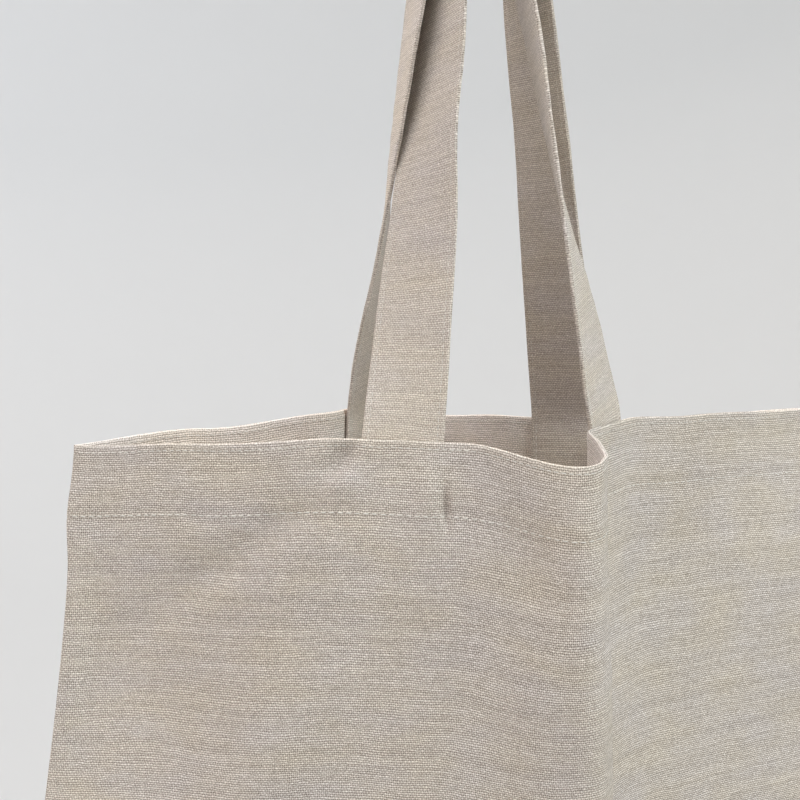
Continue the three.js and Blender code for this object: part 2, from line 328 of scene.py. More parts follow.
def front_plan(level):
    reach = (level / LOW_LEVEL) ** LOW_POWER
    share = -math.log(math.exp(-LOW_SOFTNESS * reach) + math.exp(-LOW_SOFTNESS)) / LOW_SOFTNESS
    past = max(0.0, (level - LOW_LEVEL) / (1 - LOW_LEVEL))
    fade = 1 - past ** FLATTEN_POWER
    rim_along, low_along = values(FRONT_FOLDS, "along"), values(FRONT_FOLDS, "low_along")
    rim_turn, low_turn = values(FRONT_FOLDS, "turn"), values(FRONT_FOLDS, "low_turn")
    along = rim_along + (low_along - rim_along) * share
    turn = (rim_turn + (low_turn - rim_turn) * share) * fade
    seam = [curved(LEFT_SEAM, "level", "x", level), curved(LEFT_SEAM, "level", "y", level)]
    return walk_plan(eased(along, turn, WALK_MIDDLES)) + seam


def back_plan(level):
    """The back panel bends just enough to span the same side seams as the front panel."""
    front = front_plan(level)
    span = front[-1] - front[0]
    turns = eased(values(BACK_FOLDS, "along"), values(BACK_FOLDS, "turn"), WALK_MIDDLES)
    low, high = 0.0, GAIN_LIMIT
    for _ in range(GAIN_TRIES):
        gain = (low + high) / 2
        plan = walk_plan(turns * gain)
        if np.linalg.norm(plan[-1]) > np.linalg.norm(span):
            low = gain
        else:
            high = gain
    tilt = math.atan2(span[1], span[0]) - math.atan2(plan[-1][1], plan[-1][0])
    turned = np.array([[math.cos(tilt), math.sin(tilt)], [-math.sin(tilt), math.cos(tilt)]])
    return plan @ turned + front[0]


def ripples(along, depth, waves, seed, stretch):
    """Soft seeded unevenness: waves is a list of (wavelength, height), stretched along the depth."""
    dice = np.random.default_rng(seed)
    total = np.zeros(np.broadcast(along, depth).shape)
    for wavelength, height in waves:
        for _ in range(RIPPLE_COUNT):
            angle = dice.uniform(0, math.pi)
            pace = 2 * math.pi / (wavelength * dice.uniform(*RIPPLE_LENGTHS))
            phase = dice.uniform(0, 2 * math.pi)
            place = along * math.cos(angle) + depth / stretch * math.sin(angle)
            total = total + height / RIPPLE_SHARE * np.sin(pace * place + phase)
    return total


def dented(along, depth, dents):
    total = np.zeros(np.broadcast(along, depth).shape)
    for dent in dents:
        down = (depth - dent["depth"]) / dent["half_depth"]
        across = (along - dent["along"] - dent["lean"] * (depth - dent["depth"])) / dent["half_along"]
        total = total + dent["height"] * np.exp(-(down ** 2 + across ** 2))
    return total


def puckers(along, depth, row_depth, height, seed):
    """Small gathers that a row of stitches draws into the cloth."""
    near = np.exp(-((depth - row_depth) / PUCKER_REACH) ** 2)
    groove = -GROOVE_DEPTH * height * np.exp(-((depth - row_depth) / GROOVE_REACH) ** 2)
    waves = [(length, height) for length in PUCKER_LENGTHS]
    return near * ripples(along, depth * PUCKER_SQUEEZE, waves, seed, 1.0) + groove


FRONT = SimpleNamespace(plan=front_plan, droop=FRONT_DROOP, side=-1.0, dents=FRONT_DENTS, seed=FRONT_SEED)
BACK = SimpleNamespace(plan=back_plan, droop=BACK_DROOP, side=1.0, dents=[], seed=BACK_SEED)


def relief(panel, along, depth):
    """Height of the cloth's outer face over the plain hung form."""
    to_seam = np.minimum(along, PANEL_WIDTH - along)
    calm = smoothstep(to_seam / SEAM_CALM) * smoothstep((PANEL_HEIGHT - depth) / BOTTOM_CALM)
    soft = ripples(along, depth, SOFT_WAVES, panel.seed, SOFT_STRETCH)
    fine = ripples(along, depth, FINE_WAVES, panel.seed + 1, 1.0)
    hem = puckers(along, depth, HEM_DEPTH, HEM_PUCKER, panel.seed + 2)
    edge = puckers(along, depth, EDGE_STITCH_DEPTH, EDGE_PUCKER, panel.seed + 3)
    return calm * (soft + fine + dented(along, depth, panel.dents)) + hem + edge


def panel_surface(panel, along, depth):
    """Points of the outer face and directions into the bag, on the grid of depth by along."""
    points = np.zeros((len(depth), len(along), 3))
    to_seam = np.minimum(along, PANEL_WIDTH - along)
    drop = eased(values(panel.droop, "along"), values(panel.droop, "drop"), along)
    for row, down in enumerate(depth):
        level = down / PANEL_HEIGHT
        plan = panel.plan(level)
        to_edge = np.minimum(to_seam, PANEL_HEIGHT - down)
        apart = CLOTH + (OUTER_OFFSET - CLOTH) * smoothstep(to_edge / SEAM_PINCH_RUN)
        rounded = np.sqrt(np.clip(1 - (1 - np.clip(to_edge / CLOTH, 0, 1)) ** 2, 0, 1))
        apart = SEAM_TOUCH + (apart - SEAM_TOUCH) * rounded
        flare = CORNER_FLARE * math.exp(-((down - HEM_DEPTH) / CORNER_FLARE_HEIGHT) ** 2)
        points[row, :, 0] = np.interp(along, WALK_PLACES, plan[:, 0])
        points[row, :, 0] -= flare * smoothstep(1 - along / CORNER_FLARE_RUN)
        points[row, :, 1] = np.interp(along, WALK_PLACES, plan[:, 1]) + panel.side * apart
        points[row, :, 2] = RIM_Z - drop * (1 - level) - down
    across = np.gradient(points, along, axis=1)
    downward = np.gradient(points, depth, axis=0)
    inward = unit(np.cross(across, downward)) * -panel.side
    raised = relief(panel, along[None, :], depth[:, None])
    return points - inward * raised[:, :, None], inward


def panel_thickness(along, depth):
    to_seam = np.minimum(along, PANEL_WIDTH - along)
    folded = smoothstep(0.5 + (HEM_DEPTH - depth) / HEM_EDGE_RUN)
    hem = HEM_LAYERS * folded * np.clip(to_seam / SEAM_RUN, 0, 1)
    to_edge = np.minimum(to_seam, PANEL_HEIGHT - depth)
    rounded = np.sqrt(np.clip(1 - (1 - np.clip(to_edge / CLOTH, 0, 1)) ** 2, 0, 1))
    return SEAM_TOUCH / 2 + CLOTH * rounded + hem


def make_object(name, points, faces, uvs, material):
    """A smooth mesh object from points in millimetres."""
    mesh = bpy.data.meshes.new(name)
    mesh.from_pydata((points * METRE).tolist(), [], faces)
    if uvs is not None:
        layer = mesh.uv_layers.new(name="UVMap")
        corners = np.zeros(len(mesh.loops), dtype=np.int32)
        mesh.loops.foreach_get("vertex_index", corners)
        layer.data.foreach_set("uv", uvs[corners].astype(np.float32).ravel())
    shape = bmesh.new()
    shape.from_mesh(mesh)
    bmesh.ops.recalc_face_normals(shape, faces=shape.faces)
    shape.to_mesh(mesh)
    shape.free()
    mesh.polygons.foreach_set("use_smooth", np.ones(len(mesh.polygons), dtype=bool))
    mesh.materials.append(material)
    piece = bpy.data.objects.new(name, mesh)
    bpy.context.scene.collection.objects.link(piece)
    return piece


def grid_faces(rows, columns):
    """Quads of a grid of points stored row by row."""
    corner = np.arange((rows - 1) * columns).reshape(rows - 1, columns)[:, :-1].ravel()
    return np.stack([corner, corner + 1, corner + columns + 1, corner + columns], 1).tolist()


def panel_columns():
    even = np.linspace(0.0, PANEL_WIDTH, PANEL_COLUMNS)
    edge = np.array(SEAM_COLUMNS)
    pinch = np.arange(PINCH_START, PINCH_END, PINCH_STEP)
    return np.unique(np.concatenate([even, edge, pinch, PANEL_WIDTH - edge]))


def panel_depths():
    hem = np.arange(*HEM_ROWS)
    body = np.arange(*BODY_ROWS)
    bottom = PANEL_HEIGHT - np.array(BOTTOM_ROWS)
    return np.concatenate([RIM_ROWS, hem, HEM_EDGE_ROWS, body, bottom])


def make_panel(name, panel, material):
    """One cloth wall: outer face up to the rim, over its rounded edge and down the inner face."""
    along, depth = panel_columns(), panel_depths()
    outer, inward = panel_surface(panel, along, depth)
    thickness = panel_thickness(along[None, :], depth[:, None])[:, :, None]
    inner = outer + inward * thickness
    top_outer, top_inner = outer[0], inner[0]
    middle, half = (top_outer + top_inner) / 2, (top_outer - top_inner) / 2
    lift = depth[0] * np.array([0.0, 0.0, 1.0])
    arc = []
    for share in RIM_ARC:
        angle = share * math.pi
        arc.append(middle + half * math.cos(angle) + lift * math.sin(angle))
    rows = [*outer[::-1], *arc, *inner]
    from_rim = [*(-depth[::-1]), *(depth[0] * (np.array(RIM_ARC) * 2 - 1)), *depth]
    points = np.concatenate(rows)
    columns, count = len(along), len(rows)
    flat_down = np.repeat(np.array(from_rim) + PANEL_HEIGHT, columns)
    uvs = np.stack([np.tile(along, count), flat_down], 1) / UV_SPAN
    faces = grid_faces(count, columns)
    for column in range(columns - 1):
        last = (count - 1) * columns
        faces.append([column, last + column, last + column + 1, column + 1])
    for column in (0, columns - 1):
        for row in range(count // 2 - 1):
            mirror = count - 1 - row
            faces.append([row * columns + column, (row + 1) * columns + column,
                          (mirror - 1) * columns + column, mirror * columns + column])
        middle_row = count // 2
        faces.append([(middle_row + shift) * columns + column for shift in (-1, 0, 1)])
    return make_object(name, points, faces, uvs, material)


def leg_path(panel, leg, arch, at_left):
    """Middle line, width direction and slant of the weave from a handle end up, and its arch angle."""
    half = STRAP_WIDTH / 2
    along = leg["along"] + np.array([-half, -NEAR_MIDDLE, 0.0, NEAR_MIDDLE, half])
    depth = np.linspace(STRAP_SEWN, 0.0, SEWN_ROWS)
    broad = [dent for dent in panel.dents if dent["half_along"] > BROAD_DENT]
    smooth = SimpleNamespace(**{**vars(panel), "dents": broad})
    outer, inward = panel_surface(smooth, along, depth[::-1])
    outer, inward = outer[::-1], inward[::-1]
    offset = CLOTH + HEM_LAYERS + STRAP_CLEARANCE + STRAP_THICKNESS / 2
    sewn = outer[:, 2] + inward[:, 2] * offset
    width = unit(outer[:, 4] - outer[:, 0])
    start, start_width = sewn[-1], width[-1]
    start_turn = math.degrees(math.atan2(start_width[1], start_width[0]))
    middle_z = arch["crown"] - arch["radius"]
    away_x, away_z = start[0] - arch["x"], start[2] - middle_z
    spread = math.acos(arch["radius"] / math.hypot(away_x, away_z))
    angle = math.atan2(away_z, away_x) + (-spread if at_left else spread)
    touch = np.array([arch["x"] + arch["radius"] * math.cos(angle), arch["y"],
                      middle_z + arch["radius"] * math.sin(angle)])
    up = np.linspace(0.0, 1.0, LEG_ROWS + 1)[1:]
    bow = np.sin(math.pi * up)[:, None] * np.array([leg["bow_x"], leg["bow_y"], 0.0])
    free = start + up[:, None] * (touch - start) + bow
    share = curved(leg["twist"], "up", "share", up)
    turn = np.radians(start_turn + (leg["top_turn"] - start_turn) * share)
    free_width = np.stack([np.cos(turn), np.sin(turn), np.zeros_like(turn)], 1)
    pull = np.concatenate([np.zeros(SEWN_ROWS), WEAVE_PULL * np.sin(turn - math.radians(start_turn))])
    return np.concatenate([sewn, free]), np.concatenate([width, free_width]), pull, angle % (2 * math.pi)


def settled(line, passes):
    """A line of points or directions with its kinks eased; its ends stay."""
    for _ in range(passes):
        line = np.concatenate([line[:1], (line[:-2] + 2 * line[1:-1] + line[2:]) / 4, line[-1:]])
    return line


def strap_path(panel, left_leg, right_leg, arch):
    left, left_width, left_pull, left_angle = leg_path(panel, left_leg, arch, True)
    right, right_width, right_pull, right_angle = leg_path(panel, right_leg, arch, False)
    angles = np.linspace(left_angle, right_angle, ARCH_ROWS + 2)[1:-1]
    top = np.stack([arch["x"] + arch["radius"] * np.cos(angles), np.full(ARCH_ROWS, arch["y"]),
                    arch["crown"] - arch["radius"] + arch["radius"] * np.sin(angles)], 1)
    top_width = np.repeat(left_width[-1:], ARCH_ROWS, axis=0)
    top_pull = np.linspace(left_pull[-1], right_pull[-1], ARCH_ROWS)
    pull = np.concatenate([left_pull, top_pull, right_pull[::-1]])
    centre = settled(np.concatenate([left, top, right[::-1]]), CENTRE_PASSES)
    width = settled(np.concatenate([left_width, top_width, -right_width[::-1]]), WIDTH_PASSES)
    way = unit(np.gradient(centre, axis=0))
    width = unit(width - (width * way).sum(1, keepdims=True) * way)
    facing = np.cross(width, way)
    length = np.concatenate([[0.0], np.cumsum(np.linalg.norm(np.diff(centre, axis=0), axis=1))])
    return SimpleNamespace(centre=centre, width=width, facing=facing, length=length, pull=pull)


def strap_face(path, place, seed):
    """Height of a strap's face over its middle layer at places across it, for each row."""
    half = STRAP_WIDTH / 2
    to_edge = np.clip((half - np.abs(place)) / (STRAP_THICKNESS / 2), 0, 1)
    rounded = np.sqrt(np.clip(1 - (1 - to_edge) ** 2, 0, 1))
    inset = half - STRAP_STITCH_INSET
    groove = -STRAP_GROOVE * np.exp(-((np.abs(place) - inset) / STRAP_GROOVE_REACH) ** 2)
    crown = STRAP_CROWN * np.clip(1 - (place / inset) ** 2, 0, 1)
    gathers = ripples(place[None, :], path.length[:, None], GATHER_WAVES, seed, 1.0)
    return STRAP_THICKNESS / 2 * rounded + (groove + crown)[None, :] + gathers * rounded


def strap_sway(path, seed):
    """How far each row of a strap swings out of its path, between the sewn ends."""
    swing = ripples(path.length, path.length * 0.0, SWAY_WAVES, seed, 1.0)
    from_start = smoothstep((path.length - STRAP_SEWN) / SWAY_RUN)
    from_end = smoothstep((path.length[-1] - path.length - STRAP_SEWN) / SWAY_RUN)
    return swing * from_start * from_end


def make_strap(name, path, material, seed):
    half = STRAP_WIDTH / 2
    edge = half - np.array(STRAP_EDGE_COLUMNS)
    place = np.unique(np.concatenate([edge, -edge, np.linspace(*STRAP_MIDDLE_COLUMNS)]))
    middle = (path.centre[:, None, :] + place[None, :, None] * path.width[:, None, :]
              + strap_sway(path, seed)[:, None, None] * path.facing[:, None, :])
    outer = middle + strap_face(path, place, seed)[:, :, None] * path.facing[:, None, :]
    inner = middle - strap_face(path, place, seed + 1)[:, :, None] * path.facing[:, None, :]
    ring = np.concatenate([outer, inner[:, -2:0:-1]], axis=1)
    rows, sides = ring.shape[:2]
    around = np.concatenate([place + half, 3 * half - place[-2:0:-1]])
    slant = path.pull[:, None] * np.concatenate([place, place[-2:0:-1]])[None, :]
    uvs = np.stack([np.tile(around, rows), (path.length[:, None] + slant).ravel()], 1) / UV_SPAN
    faces = []
    for row in range(rows - 1):
        for side in range(sides):
            ahead = (side + 1) % sides
            faces.append([row * sides + side, row * sides + ahead,
                          (row + 1) * sides + ahead, (row + 1) * sides + side])
    faces.append(list(range(sides)))
    faces.append(list(range((rows - 1) * sides, rows * sides)))
    return make_object(name, ring.reshape(-1, 3), faces, uvs, material)


def stitch_row(line, facing, stitch, seed):
    """Points and faces of a row of sewn stitches on a line of surface points."""
    dice = np.random.default_rng(seed)
    run = np.concatenate([[0.0], np.cumsum(np.linalg.norm(np.diff(line, axis=0), axis=1))])
    count = int(run[-1] // stitch["pitch"])
    points, faces = [], []
    shares = np.linspace(0.0, 1.0, STITCH_RINGS)
    for index in range(count):
        wander = dice.uniform(-STITCH_WANDER, STITCH_WANDER)
        first = (index + 0.5) * stitch["pitch"] - stitch["length"] / 2 + wander
        places = first + shares * stitch["length"]
        centre = np.stack([np.interp(places, run, line[:, axis]) for axis in range(3)], 1)
        normal = unit(np.stack([np.interp(places, run, facing[:, axis]) for axis in range(3)], 1))
        way = unit(np.gradient(centre, axis=0))
        side = unit(np.cross(way, normal))
        arch = np.sin(math.pi * shares) ** STITCH_FULLNESS
        centre = centre + normal * (stitch["lift"] * arch - stitch["radius"] * (1 - arch))[:, None]
        base = len(points) * STITCH_RINGS * STITCH_SIDES
        angles = np.arange(STITCH_SIDES) * 2 * math.pi / STITCH_SIDES
        around = (np.cos(angles)[None, :, None] * side[:, None]
                  + np.sin(angles)[None, :, None] * normal[:, None])
        rings = centre[:, None] + stitch["radius"] * around
        points.append(rings.reshape(-1, 3))
        for ring in range(STITCH_RINGS - 1):
            for corner in range(STITCH_SIDES):
                ahead = (corner + 1) % STITCH_SIDES
                low, high = base + ring * STITCH_SIDES, base + (ring + 1) * STITCH_SIDES
                faces.append([low + corner, low + ahead, high + ahead, high + corner])
        faces.append([base + corner for corner in range(STITCH_SIDES)])
        last = base + (STITCH_RINGS - 1) * STITCH_SIDES
        faces.append([last + corner for corner in range(STITCH_SIDES)])
    return np.concatenate(points), faces


def joined(rows):
    points, faces, first = [], [], 0
    for row_points, row_faces in rows:
        points.append(row_points)
        faces.extend([[first + corner for corner in face] for face in row_faces])
        first += len(row_points)
    return np.concatenate(points), faces


def make_panel_stitches(name, panel, material):
    along = np.linspace(STITCH_MARGIN, PANEL_WIDTH - STITCH_MARGIN, STITCH_LINE_POINTS)
    kinds = ((HEM_STITCH_DEPTH, HEM_STITCH), (EDGE_STITCH_DEPTH, EDGE_STITCH))
    rows = []
    for number, (depth, stitch) in enumerate(kinds):
        near = depth + STITCH_LINE_STEP * np.array([-1.0, 0.0, 1.0])
        outer, inward = panel_surface(panel, along, near)
        thickness = panel_thickness(along, np.full_like(along, depth))[:, None]
        inner = outer[1] + inward[1] * thickness
        seed = panel.seed + number
        rows.append(stitch_row(outer[1], -inward[1], stitch, seed))
        rows.append(stitch_row(inner, inward[1], stitch, seed + INNER_STITCH_SEED))
    points, faces = joined(rows)
    return make_object(name, points, faces, None, material)


def make_strap_stitches(name, path, material, seed):
    rows = []
    to_end = np.minimum(path.length, path.length[-1] - path.length)
    free = to_end > STRAP_STITCH_START
    inset = STRAP_WIDTH / 2 - STRAP_STITCH_INSET
    sway = strap_sway(path, seed)
    for place in (-inset, inset):
        for face, way in ((0, 1.0), (1, -1.0)):
            height = strap_face(path, np.array([place]), seed + face)[:, 0] * way + sway
            line = path.centre + place * path.width + height[:, None] * path.facing
            row_seed = seed + STRAP_STITCH_SEED + face
            rows.append(stitch_row(line[free], path.facing[free] * way, STRAP_STITCH, row_seed))
    points, faces = joined(rows)
    return make_object(name, points, faces, None, material)


class Graph:
    """Short names for the nodes of one material."""

    def __init__(self, name):
        self.material = bpy.data.materials.new(name)
        self.material.use_nodes = True
        self.tree = self.material.node_tree
        self.shader = self.tree.nodes["Principled BSDF"]

    def node(self, kind, **settings):
        made = self.tree.nodes.new(kind)
        for key, value in settings.items():
            setattr(made, key, value)
        return made

    def join(self, source, socket):
        if isinstance(source, bpy.types.NodeSocket):
            self.tree.links.new(source, socket)
        else:
            socket.default_value = source

    def math(self, operation, *inputs):
        made = self.node("ShaderNodeMath", operation=operation)
        for socket, source in zip(made.inputs, inputs):
            self.join(source, socket)
        return made.outputs[0]

    def add(self, *inputs):
        total = inputs[0]
        for source in inputs[1:]:
            total = self.math("ADD", total, source)
        return total

    def times(self, *inputs):
        total = inputs[0]
        for source in inputs[1:]:
            total = self.math("MULTIPLY", total, source)
        return total

    def noise(self, x, y, detail):
        """Smooth noise, about -0.5 to 0.5."""
        place = self.node("ShaderNodeCombineXYZ")
        self.join(x, place.inputs[0])
        self.join(y, place.inputs[1])
        made = self.node("ShaderNodeTexNoise", noise_dimensions="2D")
        made.inputs["Scale"].default_value = 1.0
        made.inputs["Detail"].default_value = detail
        self.join(place.outputs[0], made.inputs["Vector"])
        return self.math("SUBTRACT", made.outputs[0], 0.5)

    def chance(self, row, number):
        """A random value from -0.5 to 0.5 for each pair of whole numbers."""
        place = self.node("ShaderNodeCombineXYZ")
        self.join(row, place.inputs[0])
        self.join(number, place.inputs[1])
        made = self.node("ShaderNodeTexWhiteNoise", noise_dimensions="2D")
        self.join(place.outputs[0], made.inputs["Vector"])
        return self.math("SUBTRACT", made.outputs["Value"], 0.5)

    def uneven(self, across, down, kind):
        """Smooth noise over the flat cloth: pace each way, place in the noise, detail and height."""
        x = self.times(across, kind["across"])
        y = self.add(self.times(down, kind["down"]), kind["shift"])
        return self.times(self.noise(x, y, kind["detail"]), kind["height"])


# Two uses of the cloth: yarn spacing, mean tone, strength of pattern and relief,
# the painted light added on the inner face and the painted highlight along the rim's folded edge.
PANEL_WEAVE = {
    "weft": 0.83,
    "warp": 0.65,
    "tone": 0.518,
    "contrast": 1.0,
    "relief": 0.9,
    "inner_painted_light": 0.2,
    "rim_painted_highlight": 0.13,
}
STRAP_WEAVE = {
    "weft": 0.76,
    "warp": 0.6,
    "tone": 0.555,
    "contrast": 0.8,
    "relief": 0.6,
    "inner_painted_light": 0.0,
    "rim_painted_highlight": 0.0,
}
YARN_TONE_MEAN = 0.168
# Width in millimetres of the painted highlight along the rim's folded edge.
RIM_HIGHLIGHT_RUN = 1.3
LINEN_DARK = (0.10, 0.085, 0.07, 1.0)
LINEN_MIDDLE = (0.466, 0.418, 0.37, 1.0)
LINEN_PALE = (0.87, 0.82, 0.765, 1.0)
LINEN_WARM = (1.03, 0.985, 0.92, 1.0)
LINEN_COOL = (1.01, 0.985, 1.0, 1.0)

# How yarns wander over the flat cloth, how their tone drifts and how their hue drifts.
WANDER_DOWN = {"across": 0.05, "down": 0.08, "shift": 0.0, "detail": 2.0, "height": 1.5}
WANDER_ACROSS = {"across": 0.09, "down": 0.06, "shift": 40.0, "detail": 2.0, "height": 1.5}
SHIFT_DOWN = {"across": 0.4, "down": 0.5, "shift": 0.0, "detail": 1.0, "height": 0.42}
SHIFT_ACROSS = {"across": 0.5, "down": 0.4, "shift": 70.0, "detail": 1.0, "height": 0.6}
BROAD_TONE = {"across": 0.018, "down": 0.018, "shift": 0.0, "detail": 2.0, "height": 0.1}
FINE_TONE = {"across": 1.1, "down": 1.3, "shift": 0.0, "detail": 1.0, "height": 0.32}
HUE_DRIFT = {"across": 0.03, "down": 0.06, "shift": 0.0, "detail": 3.0, "height": 2.2}

# Thick and thin places of a yarn: pace along it, step from yarn to yarn, detail.
WEFT_SLUB = {"pace": 0.07, "step": 7.31, "detail": 2.0}
WARP_SLUB = {"pace": 0.09, "step": 7.77, "detail": 2.0}

# Height of the yarns and of their crossings, for the bump.
WEFT_HEIGHT = {"yarn": 0.8, "slub": 0.5}
WARP_HEIGHT = {"yarn": 0.6, "slub": 0.4}
CROSSING_HEIGHT = 0.24
HEIGHT_BLEND = 0.2
BUMP_DISTANCE = 0.0003

# Share of each feature of the weave in its tone; the lighter yarn crowns and the dark gaps between yarns
# are painted shade.
FLOAT_TONE = 0.14
WEFT_TONE = 0.26
WARP_TONE = 0.14
PIT_SHADE = -0.66
FLOAT_CHANCE = 0.2
YARN_CHANCE = 0.09
YARN_CHANCE_COLUMN = 3.0
WEFT_SLUB_TONE = 0.13
WARP_SLUB_TONE = 0.06


def linen(name, weave):
    """Plain-woven linen of uneven yarns, drawn from the cloth's own flat coordinates."""
    graph = Graph(name)
    flat = graph.node("ShaderNodeUVMap", uv_map="UVMap")
    split = graph.node("ShaderNodeSeparateXYZ")
    graph.join(flat.outputs[0], split.inputs[0])
    across = graph.times(split.outputs[0], UV_SPAN)
    down = graph.times(split.outputs[1], UV_SPAN)

    # Yarns wander a little and vary in thickness.
    wander_down = graph.uneven(across, down, WANDER_DOWN)
    wander_across = graph.uneven(across, down, WANDER_ACROSS)
    shift_down = graph.uneven(across, down, SHIFT_DOWN)
    shift_across = graph.uneven(across, down, SHIFT_ACROSS)
    weft = graph.times(graph.add(down, wander_down, shift_down), 1 / weave["weft"])
    warp = graph.times(graph.add(across, wander_across, shift_across), 1 / weave["warp"])
    weft_number = graph.math("FLOOR", weft)
    warp_number = graph.math("FLOOR", warp)
    weft_round = graph.math("SINE", graph.times(graph.math("FRACT", weft), math.pi))
    warp_round = graph.math("SINE", graph.times(graph.math("FRACT", warp), math.pi))

    # Each yarn passes over and under the crossing ones by turns.
    weft_over = graph.math("COSINE", graph.times(graph.add(warp, weft_number, -0.5), math.pi))
    warp_over = graph.math("COSINE", graph.times(graph.add(weft, warp_number, 0.5), math.pi))
    weft_place = graph.times(across, WEFT_SLUB["pace"])
    weft_slub = graph.noise(weft_place, graph.times(weft_number, WEFT_SLUB["step"]), WEFT_SLUB["detail"])
    warp_place = graph.times(down, WARP_SLUB["pace"])
    warp_slub = graph.noise(graph.times(warp_number, WARP_SLUB["step"]), warp_place, WARP_SLUB["detail"])
    weft_full = graph.add(WEFT_HEIGHT["yarn"], graph.times(weft_slub, WEFT_HEIGHT["slub"]))
    warp_full = graph.add(WARP_HEIGHT["yarn"], graph.times(warp_slub, WARP_HEIGHT["slub"]))
    weft_height = graph.add(graph.times(weft_round, weft_full), graph.times(weft_over, CROSSING_HEIGHT))
    warp_height = graph.add(graph.times(warp_round, warp_full), graph.times(warp_over, CROSSING_HEIGHT))
    height = graph.math("SMOOTH_MAX", weft_height, warp_height, HEIGHT_BLEND)

    # The weft shows paler than the warp and every float has a tone of its own;
    # each yarn is painted lighter along its crown than at its sides, and the gaps between yarns are
    # darkened, both as painted shade.
    pit_shade = graph.times(graph.math("SUBTRACT", 1.0, weft_round), graph.math("SUBTRACT", 1.0, warp_round))
    float_number = graph.math("FLOOR", graph.times(graph.add(warp, weft_number, 0.5), 0.5))
    tone = graph.add(
        graph.times(weft_over, weft_round, FLOAT_TONE),
        graph.times(weft_round, WEFT_TONE),
        graph.times(warp_round, WARP_TONE),
        graph.times(pit_shade, PIT_SHADE),
        graph.times(graph.chance(weft_number, float_number), weft_round, FLOAT_CHANCE),
        graph.times(graph.chance(weft_number, YARN_CHANCE_COLUMN), YARN_CHANCE),
        graph.times(weft_slub, WEFT_SLUB_TONE),
        graph.times(warp_slub, WARP_SLUB_TONE),
        graph.uneven(across, down, BROAD_TONE),
        graph.uneven(across, down, FINE_TONE),
    )
    # Painted light: the inner face of a panel is made paler, standing in for light that comes through the
    # thin cloth.
    inner_face = graph.math("GREATER_THAN", down, PANEL_HEIGHT)
    # Painted highlight: the cloth is made paler close to the rim's folded edge, where the fold catches
    # light.
    to_rim = graph.math("ABSOLUTE", graph.math("SUBTRACT", down, PANEL_HEIGHT))
    rim_highlight_falloff = graph.math("SUBTRACT", 1.0, graph.times(to_rim, 1 / RIM_HIGHLIGHT_RUN))
    rim_highlight_mask = graph.math("MAXIMUM", rim_highlight_falloff, 0.0)
    tone = graph.add(
        weave["tone"] - YARN_TONE_MEAN * weave["contrast"],
        graph.times(tone, weave["contrast"]),
        graph.times(inner_face, weave["inner_painted_light"]),
        graph.times(rim_highlight_mask, weave["rim_painted_highlight"]),
    )
    ramp = graph.node("ShaderNodeValToRGB")
    ramp.color_ramp.elements[0].color = LINEN_DARK
    ramp.color_ramp.elements[1].color = LINEN_PALE
    ramp.color_ramp.elements.new(0.5).color = LINEN_MIDDLE
    graph.join(tone, ramp.inputs[0])

    # The hue drifts a little from place to place.
    drift = graph.uneven(across, down, HUE_DRIFT)
    hue = graph.node("ShaderNodeMix", data_type="RGBA")
    graph.join(graph.add(0.5, drift), hue.inputs["Factor"])
    hue.inputs[6].default_value = LINEN_WARM
    hue.inputs[7].default_value = LINEN_COOL
    tinted = graph.node("ShaderNodeMix", data_type="RGBA", blend_type="MULTIPLY")
    tinted.inputs["Factor"].default_value = 1.0
    graph.join(ramp.outputs[0], tinted.inputs[6])
    graph.join(hue.outputs[2], tinted.inputs[7])
    graph.join(tinted.outputs[2], graph.shader.inputs["Base Color"])

    bump = graph.node("ShaderNodeBump")
    bump.inputs["Strength"].default_value = weave["relief"]
    bump.inputs["Distance"].default_value = BUMP_DISTANCE
    graph.join(height, bump.inputs["Height"])
    graph.join(bump.outputs[0], graph.shader.inputs["Normal"])
    graph.shader.inputs["Roughness"].default_value = 0.9
    graph.shader.inputs["Specular IOR Level"].default_value = 0.2
    graph.shader.inputs["Sheen Weight"].default_value = 0.12
    graph.shader.inputs["Sheen Roughness"].default_value = 0.5
    return graph.material


THREAD_DARK = (0.38, 0.34, 0.3, 1.0)
THREAD_PALE = (0.86, 0.82, 0.76, 1.0)
THREAD_TWIST_SCALE = 900.0


def thread(name):
    """Sewing thread with a fine uneven twist."""
    graph = Graph(name)
    place = graph.node("ShaderNodeNewGeometry")
    noise = graph.node("ShaderNodeTexNoise")
    noise.inputs["Scale"].default_value = THREAD_TWIST_SCALE
    graph.join(place.outputs["Position"], noise.inputs["Vector"])
    ramp = graph.node("ShaderNodeValToRGB")
    ramp.color_ramp.elements[0].color = THREAD_DARK
    ramp.color_ramp.elements[1].color = THREAD_PALE
    graph.join(noise.outputs[0], ramp.inputs[0])
    graph.join(ramp.outputs[0], graph.shader.inputs["Base Color"])
    graph.shader.inputs["Roughness"].default_value = 0.7
    return graph.material


def plain(name, colour):
    """Matt paint of one colour."""
    graph = Graph(name)
    graph.shader.inputs["Base Color"].default_value = colour
    graph.shader.inputs["Roughness"].default_value = 1.0
    graph.shader.inputs["Specular IOR Level"].default_value = 0.0
    return graph.material


# Studio: a pale floor that curves up into a round wall, all in metres.
FLOOR_Z = -2.3
FLOOR_RADIUS = 2.5
WALL_CURVE = 1.1
WALL_TOP = 3.2
STUDIO_SIDES = 96
CURVE_ROWS = 24
FLOOR_MIDDLE = 0.001
STUDIO_PAINT = (0.8, 0.8, 0.8, 1.0)


